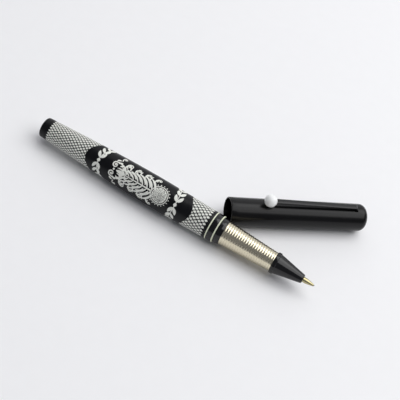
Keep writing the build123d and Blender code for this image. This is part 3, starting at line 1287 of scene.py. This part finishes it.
def draw_garland(ink, along, half, bow, length, width):
    """A leafy band round the barrel: a thin bowed stem with leaves in pairs."""
    steps = 40
    stem_width, bud = 0.34 * MM, 0.7 * MM
    leaf_gap, off_stem, leaf_bend = 1.8, 0.1 * MM, 0.7
    spots = [-half + 2 * half * i / steps for i in range(steps + 1)]
    stem = [(along + bow * (s / half) ** 2, s) for s in spots]
    ink.stroke(stem, [stem_width] * len(stem))
    pairs = 2 * round(half / (width * leaf_gap))
    lean = math.radians(46)
    for i in range(pairs):
        s = -half + 2 * half * (i + 0.5) / pairs
        x = along + bow * (s / half) ** 2
        way = 1 if s > 0 else -1
        for side in (-1, 1):
            root = (x + side * off_stem, s)
            heading = way * (math.pi / 2 - side * lean)
            ink.leaf(root, heading, length, width, way * side * leaf_bend)
    ink.dot((along, 0), bud, steps=16)


def draw_spray(ink, settings):
    """The plume of split leaves behind the medallion, scrolls at every other tip."""
    base = settings.medallion_at - settings.medallion_radius
    reach = 13.0 * MM
    pairs = 7
    overlap, off_stem, behind = 0.8 * MM, 0.5 * MM, 1.1 * MM
    curl_behind, curl_length, curl_radius = 0.3 * MM, 1.6 * MM, 0.75 * MM
    small_leaf, curl_width = 0.62 * MM, 0.42 * MM
    for i in range(pairs):
        t = i / (pairs - 1)
        x = base + overlap - reach * t
        length = (6.2 - 2.4 * t) * MM
        wide = (1.9 - 0.7 * t) * MM
        opening = math.radians(70 - 24 * t)
        for side in (-1, 1):
            heading = math.pi - side * opening
            ink.split_leaf((x, side * off_stem), heading, length, wide, side * 1.15)
            between = (x - behind, side * (0.62 * length))
            ink.leaf(between, heading - side * 0.35, 0.42 * length, small_leaf, -side * 0.7)
            if i % 2 == 0:
                root = (x - curl_behind, side * 0.72 * length)
                ink.vine(root, heading, curl_length, -side * 0.8, curl_width, curl_radius)
    joints = 20
    thick, taper = 0.65, 0.02
    stem = [(base - reach * i / joints, 0.0) for i in range(joints + 1)]
    ink.stroke(stem, [(thick - taper * i) * MM for i in range(joints + 1)])


def draw_tendrils(ink, settings):
    """Stems that run on from the plume and curl up in mirrored pairs about a bud."""
    behind_medallion, opening = 12.6 * MM, math.radians(62)
    root = settings.medallion_at - settings.medallion_radius - behind_medallion
    ink.leaf((root + 0.4 * MM, 0), math.pi, 4.2 * MM, 1.5 * MM)
    ink.dot((root - 4.9 * MM, 0), 0.42 * MM)
    # each stem: millimetres behind the root and beside it, then its turn, length,
    # bend, width and the radius of its curl
    stems = (
        (-0.8, 0.3, 0.0, 7.6, 1.45, 0.55, 1.25),
        (0.9, 3.0, 0.5, 2.6, -1.0, 0.5, 0.95),
        (3.4, 4.6, 0.0, 2.2, -1.0, 0.42, 0.7),
    )
    leaves, first_leaf, leaf_step = 4, (0.2, 2.0), (1.25, 0.85)
    for side in (-1, 1):
        away = math.pi - side * opening
        for behind, beside, turn, length, bend, width, curl in stems:
            start = (root - behind * MM, side * beside * MM)
            ink.vine(
                start, away - side * turn, length * MM, side * bend, width * MM, curl * MM
            )
        for step in range(leaves):
            spot = (
                root - (first_leaf[0] + leaf_step[0] * step) * MM,
                side * (first_leaf[1] + leaf_step[1] * step) * MM,
            )
            ink.leaf(spot, math.pi + side * 0.15, 1.9 * MM, 0.75 * MM, side * 0.8)


def draw_medallion(ink, settings):
    """The round medallion's ground, its ring and the beads round that."""
    centre = Vector((settings.medallion_at, 0))
    radius = settings.medallion_radius
    ground, rim, beads_out = 0.8, 0.93, 1.1
    rim_width, bead, beads = 0.36 * MM, 0.24 * MM, 20
    ink.dot(centre, radius * ground, rings=6, steps=48)
    ink.ring(centre, radius * rim, rim_width)
    for i in range(beads):
        out = heading_to(math.tau * i / beads)
        ink.dot(centre + out * radius * beads_out, bead, steps=8)


# ---------------- operators ----------------


class PEN_OT_barrel(bpy.types.Operator):
    """Turn the lacquered barrel tube and its end plug"""

    bl_idname = "pen.barrel"
    bl_label = "Barrel"

    def execute(self, context):
        skin = eased(barrel_skin(context.scene.pen_print))
        tube = turn_outline("barrel_tube_turned", skin, "black_lacquer")
        settle(tube, "barrel", "black_lacquer", "barrel_tube")
        remake_turned("barrel_end_plug", "barrel", "black_lacquer")
        return {"FINISHED"}


class PEN_OT_crosshatch(bpy.types.Operator):
    """Print the two bands of diamonds on the barrel"""

    bl_idname = "pen.crosshatch"
    bl_label = "Crosshatch"

    def execute(self, context):
        settings = context.scene.pen_print
        tree = crosshatch_tree()
        barrel = bpy.data.objects["barrel_tube_turned"]
        low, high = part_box("barrel_tube")
        full = high.y
        pitch = math.tau * full / settings.diamonds_around
        shared = {
            "Barrel": barrel,
            "Around": settings.diamonds_around,
            "Width": pitch * settings.diamond_fill,
            "Full Radius": full,
            "Ink Height": settings.ink_height,
            "Label Rear": settings.label_rear + BORDER / 2,
            "Label Front": settings.label_front - BORDER / 2,
            "Scallop": settings.scallop,
            "Label Turn": settings.label_turn,
            "Ink": material_for("screen_print"),
        }
        rear_start = low.x + settings.rear_row
        rear_end = settings.label_rear + settings.scallop + BORDER
        front_start = settings.label_front - settings.scallop - BORDER
        front_end = high.x - settings.plain_front - settings.front_row / 2
        rear_rows = int((rear_end - rear_start) / settings.rear_row)
        front_rows = int((front_end - front_start) / settings.front_row)
        bands = {
            "rear_crosshatch": (rear_start, rear_rows, settings.rear_row),
            "front_crosshatch": (
                front_end - (front_rows - 1) * settings.front_row,
                front_rows,
                settings.front_row,
            ),
        }
        for name, (start, rows, spacing) in bands.items():
            band = grow(
                name,
                tree,
                {
                    **shared,
                    "Start": start,
                    "Rows": rows,
                    "Row Spacing": spacing,
                    "Length": 2 * spacing * settings.diamond_fill,
                },
            )
            settle(band, "barrel", "black_lacquer")
        self.add_borders(settings)
        return {"FINISHED"}

    def add_borders(self, settings):
        """Lacquer a smooth edge over the diamonds at both ends of the label."""
        outline = barrel_skin(settings)
        ends = {"rear": (settings.label_rear, 1), "front": (settings.label_front, -1)}
        for name, (edge, way) in ends.items():
            mesh = bmesh.new()
            loops = []
            for i in range(AROUND):
                turn = math.tau * i / AROUND
                dip = settings.scallop * math.sin(turn - settings.label_turn) ** 2
                loops.append(
                    [
                        mesh.verts.new(
                            on_barrel(
                                outline,
                                edge + way * (dip + BORDER * share),
                                turn,
                                lift * settings.ink_height,
                            )
                        )
                        for share, lift in EDGE_SECTION
                    ]
                )
            for near, far in zip(loops, loops[1:] + loops[:1]):
                for j in range(len(EDGE_SECTION)):
                    k = (j + 1) % len(EDGE_SECTION)
                    mesh.faces.new((near[j], near[k], far[k], far[j]))
            border = keep_mesh(f"label_edge_{name}", mesh, "black_lacquer")
            settle(border, "barrel", "black_lacquer")


class PEN_OT_ornament(bpy.types.Operator):
    """Print the medallion, leaf spray, tendrils and garlands on the black label"""

    bl_idname = "pen.ornament"
    bl_label = "Ornament"

    def execute(self, context):
        settings = context.scene.pen_print
        outline = barrel_skin(settings)
        barrel = bpy.data.objects["barrel_tube_turned"]
        seeds = seeds_tree()
        seeded, proud = 0.72, 2.0   # shares of the medallion's radius and the ink's height
        for side, turn in (("near", 0), ("far", math.pi)):
            ink = Print(outline, settings.label_turn + turn, settings.ink_height)
            draw_medallion(ink, settings)
            draw_spray(ink, settings)
            draw_tendrils(ink, settings)
            draw_garland(
                ink,
                along=settings.label_rear + 6.0 * MM,
                half=7.4 * MM,
                bow=2.4 * MM,
                length=3.1 * MM,
                width=1.3 * MM,
            )
            draw_garland(
                ink,
                along=settings.label_front - 7.2 * MM,
                half=8.6 * MM,
                bow=-1.4 * MM,
                length=3.2 * MM,
                width=1.4 * MM,
            )
            print_mesh = keep_mesh(f"ornament_{side}", ink.mesh, "screen_print")
            settle(print_mesh, "barrel", "black_lacquer")
            grains = grow(
                f"medallion_seeds_{side}",
                seeds,
                {
                    "Barrel": barrel,
                    "Count": 90,
                    "Centre": settings.medallion_at,
                    "Turn": settings.label_turn + turn,
                    "Spread": settings.medallion_radius * seeded,
                    "Grain": 0.2 * MM,
                    "Height": settings.ink_height * proud,
                    "Full Radius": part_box("barrel_tube")[1].y,
                    "Seed": 3,
                    "Lacquer": material_for("black_lacquer"),
                },
            )
            settle(grains, "barrel", "black_lacquer")
        return {"FINISHED"}


class PEN_OT_rings(bpy.types.Operator):
    """Turn the two ivory rings and the gloss spacer between them, and finish the bush under them
    """

    bl_idname = "pen.rings"
    bl_label = "Rings and spacer"

    def execute(self, context):
        remake_turned("trim_ring_rear", "barrel", "ivory_resin")
        remake_turned("trim_ring_front", "barrel", "ivory_resin")
        remake_turned("spacer_ring", "barrel", "gloss_black_resin")
        paint_node("thread_bush", "brass")
        return {"FINISHED"}


class PEN_OT_section(bpy.types.Operator):
    """Turn the collar, the ribbed steel grip and the nose cone, and thread the shank"""

    bl_idname = "pen.section"
    bl_label = "Front section"

    def execute(self, context):
        settings = context.scene.pen_grip
        remake_turned("collar", "section", "gloss_black_resin")
        remake_turned("nose_cone", "section", "gloss_black_resin")
        self.add_grip(settings)
        self.add_thread(settings)
        paint_node("section_core", "black_moulding")
        paint_node("section_seal", "seal_rubber")
        return {"FINISHED"}

    def add_grip(self, settings):
        """Sink the sleeve's side a little and lay ribs along it up to its true radius."""
        outline = turned_outline("grip_sleeve")
        low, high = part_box("grip_sleeve")
        margin = 0.45 * MM
        start, end = low.x + margin, high.x - margin
        start_radius, end_radius = (outer_radius(outline, x) for x in (start, end))
        low_side = eased(sunk(outline, settings.rib_height))
        sleeve = turn_outline("grip_sleeve_turned", low_side, "ridged_steel")
        settle(sleeve, "section", "ridged_steel", "grip_sleeve")
        count = int((end - start) / settings.rib_spacing) + 1
        spacing = (end - start) / (count - 1)
        slope = (end_radius - start_radius) / (count - 1)
        ribs = grow(
            "grip_ribs",
            ribs_tree(),
            {
                "Count": count,
                "Start": start,
                "Spacing": spacing,
                "Start Radius": start_radius - settings.rib_height,
                "Radius Step": slope,
                "Rib Height": settings.rib_height,
                "Rib Half Width": settings.rib_width / 2,
                "Sides": AROUND,
                "Metal": material_for("ridged_steel"),
            },
        )
        settle(ribs, "section", "ridged_steel")

    def add_thread(self, settings):
        """Wind the shank's thread from in front of the seal to the collar."""
        off_seal, off_collar = 0.8 * MM, 0.4 * MM
        seal_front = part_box("section_seal")[1].x + off_seal
        collar_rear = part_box("collar")[0].x - off_collar
        outline = turned_outline("section_core")
        thread = grow(
            "shank_thread",
            coil_tree(),
            {
                "Start": seal_front,
                "Length": collar_rear - seal_front,
                "Turns": (collar_rear - seal_front) / settings.thread_pitch,
                "Radius": outer_radius(outline, seal_front),
                "Wire Radius": settings.thread_ridge,
                "Wire Sides": 6,
                "Material": material_for("black_moulding"),
            },
            sharp=ROUNDED,
        )
        settle(thread, "section", "black_moulding")


class PEN_OT_refill(bpy.types.Operator):
    """Turn the brass tip, and finish the writing ball and the refill behind them"""

    bl_idname = "pen.refill"
    bl_label = "Refill"

    def execute(self, context):
        remake_turned("tip_cone", "refill", "brass")
        for node, slot in (
            ("writing_ball", "carbide"),
            ("refill_tube", "refill_moulding"),
            ("refill_end_plug", "black_moulding"),
            ("ink_reservoir", "ink_fibre"),
            ("tip_holder", "refill_moulding"),
            ("feed_wick", "ink_fibre"),
        ):
            paint_node(node, slot)
        self.wind_spring(context.scene.pen_grip)
        return {"FINISHED"}

    def wind_spring(self, settings):
        """Wind the spring behind the refill."""
        low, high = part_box("refill_spring")
        wire = settings.spring_wire / 2
        spring = grow(
            "refill_spring_coil",
            coil_tree(),
            {
                "Start": low.x + wire,
                "Length": high.x - low.x - 2 * wire,
                "Turns": settings.spring_turns,
                "Radius": high.y - wire,
                "Wire Radius": wire,
                "Wire Sides": 12,
                "Material": material_for("spring_steel"),
            },
            sharp=ROUNDED,
        )
        settle(spring, "barrel", "spring_steel", "refill_spring")
        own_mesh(spring)


class PEN_OT_cap(bpy.types.Operator):
    """Finish the cap's tube, its inner cap and the block that anchors the clip"""

    bl_idname = "pen.cap"
    bl_label = "Cap"

    def execute(self, context):
        remake_eased("cap_tube", "cap", "matt_black_cap", width=0.08 * MM)
        paint_node("inner_cap", "black_moulding")
        paint_node("clip_anchor", "black_moulding")
        return {"FINISHED"}


class PEN_OT_clip(bpy.types.Operator):
    """Finish the clip's bar and make its frosted ball"""

    bl_idname = "pen.clip"
    bl_label = "Clip"

    def execute(self, context):
        remake_eased("clip_bar", "clip", "black_clip", width=0.12 * MM)
        low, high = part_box("clip_ball")
        centre = (low + high) / 2
        frost = 0.07 * MM
        grain = 0.38 * MM
        radius = (high.x - low.x) / 2 - frost
        mesh = bmesh.new()
        bmesh.ops.create_icosphere(mesh, subdivisions=6, radius=radius)
        for vert in mesh.verts:
            rise = frost * noise.noise(vert.co / grain)
            vert.co = centre + vert.co.normalized() * (radius + rise)
        bead = keep_mesh("clip_bead", mesh, "frosted_silver", sharp=ROUNDED)
        settle(bead, "clip", "frosted_silver", "clip_ball")
        return {"FINISHED"}


class PEN_OT_stage(bpy.types.Operator):
    """Lay the pale floor, hang the soft lights and set up the camera"""

    bl_idname = "pen.stage"
    bl_label = "Stage"

    def execute(self, context):
        context.scene.view_settings.view_transform = "Standard"
        self.add_floor()
        self.add_lights(context.scene)
        self.add_camera(context.scene)
        return {"FINISHED"}

    def add_floor(self):
        """A wide pale sheet under the pen."""
        half = 3.0
        gap = 0.02 * MM
        drop = CAD_BOX[0].z - gap
        mesh = bpy.data.meshes.new("floor")
        corners = [(x * half, y * half, drop) for x, y in ((-1, -1), (1, -1), (1, 1), (-1, 1))]
        mesh.from_pydata(corners, [], [(0, 1, 2, 3)])
        mesh.materials.append(
            finish("pale_card", ("F3F3F4", "F6F6F7"), 6.0, (0.85, 0.95), IOR=1.4)
        )
        floor = bpy.data.objects.new("floor", mesh)
        bpy.context.scene.collection.objects.link(floor)

    def add_lights(self, scene):
        """A soft box above, a wide dim panel behind, and a dim room around them."""
        world = bpy.data.worlds.new("studio")
        world.use_nodes = True
        room = world.node_tree.nodes["Background"]
        room.inputs["Color"].default_value = (*linear("F4F6FF"), 1)
        room.inputs["Strength"].default_value = 0.23
        scene.world = world
        centre = (CAD_BOX[0] + CAD_BOX[1]) / 2
        for name, toward, distance, width, height, radiance in (
            ("main_softbox", (0.415, 0.173, 0.893), 1.0, 1.2, 1.05, 2.1),
            ("back_panel", (-0.05, 0.72, 0.69), 1.6, 3.4, 2.4, 0.66),
        ):
            lamp = bpy.data.lights.new(name, "AREA")
            lamp.shape = "RECTANGLE"
            lamp.size, lamp.size_y = width, height
            lamp.energy = radiance * math.pi * width * height
            light = bpy.data.objects.new(name, lamp)
            way = Vector(toward).normalized()
            light.location = centre + way * distance
            light.rotation_euler = way.to_track_quat("Z", "Y").to_euler()
            scene.collection.objects.link(light)

    def add_camera(self, scene):
        """A long lens that looks down on the pen, turned so that the pen falls away."""
        azimuth, down, roll = (math.radians(a) for a in (103.91, 46.39, 20.25))
        aim = Vector((0.07164, 0.00292, 0.00611))
        distance = 0.375
        forward = Vector(
            (
                math.cos(azimuth) * math.cos(down),
                math.sin(azimuth) * math.cos(down),
                -math.sin(down),
            )
        )
        level = forward.cross(Vector((0, 0, 1))).normalized()
        upward = level.cross(forward)
        right = level * math.cos(roll) + upward * math.sin(roll)
        up = upward * math.cos(roll) - level * math.sin(roll)
        data = bpy.data.cameras.new("camera")
        data.lens = 85.43
        data.sensor_width = 36.0
        data.clip_start = 0.01
        camera = bpy.data.objects.new("camera", data)
        turned = Matrix((right, up, -forward)).transposed().to_4x4()
        camera.matrix_world = Matrix.Translation(aim - forward * distance) @ turned
        scene.collection.objects.link(camera)
        scene.camera = camera


class PEN_PT_panel(bpy.types.Panel):
    """Lists the pen's pieces and their sizes"""

    bl_idname = "PEN_PT_panel"
    bl_label = "Rollerball pen"
    bl_space_type = "VIEW_3D"
    bl_region_type = "UI"
    bl_category = "Pen"

    def draw(self, context):
        for settings, group in GROUPS.items():
            box = self.layout.box()
            for name in group.__annotations__:
                box.prop(getattr(context.scene, settings), name)
        for operator in OPERATORS:
            self.layout.operator(operator.bl_idname)


GROUPS = {"pen_print": PenPrint, "pen_grip": PenGrip, "pen_colours": PenColours}
OPERATORS = (
    PEN_OT_stage,
    PEN_OT_barrel,
    PEN_OT_crosshatch,
    PEN_OT_ornament,
    PEN_OT_rings,
    PEN_OT_section,
    PEN_OT_refill,
    PEN_OT_cap,
    PEN_OT_clip,
)


def register():
    """Register the classes and hang the settings on the scene."""
    for entry in (*GROUPS.values(), *OPERATORS, PEN_PT_panel):
        bpy.utils.register_class(entry)
    for settings, group in GROUPS.items():
        setattr(bpy.types.Scene, settings, bpy.props.PointerProperty(type=group))


def unregister():
    """Take the settings and the classes away again."""
    for settings in GROUPS:
        delattr(bpy.types.Scene, settings)
    for entry in reversed((*GROUPS.values(), *OPERATORS, PEN_PT_panel)):
        bpy.utils.unregister_class(entry)


def main():
    """Build every piece in order."""
    register()
    bpy.ops.pen.stage()
    bpy.ops.pen.barrel()
    bpy.ops.pen.crosshatch()
    bpy.ops.pen.ornament()
    bpy.ops.pen.rings()
    bpy.ops.pen.section()
    bpy.ops.pen.refill()
    bpy.ops.pen.cap()
    bpy.ops.pen.clip()


if __name__ == "__main__":
    main()
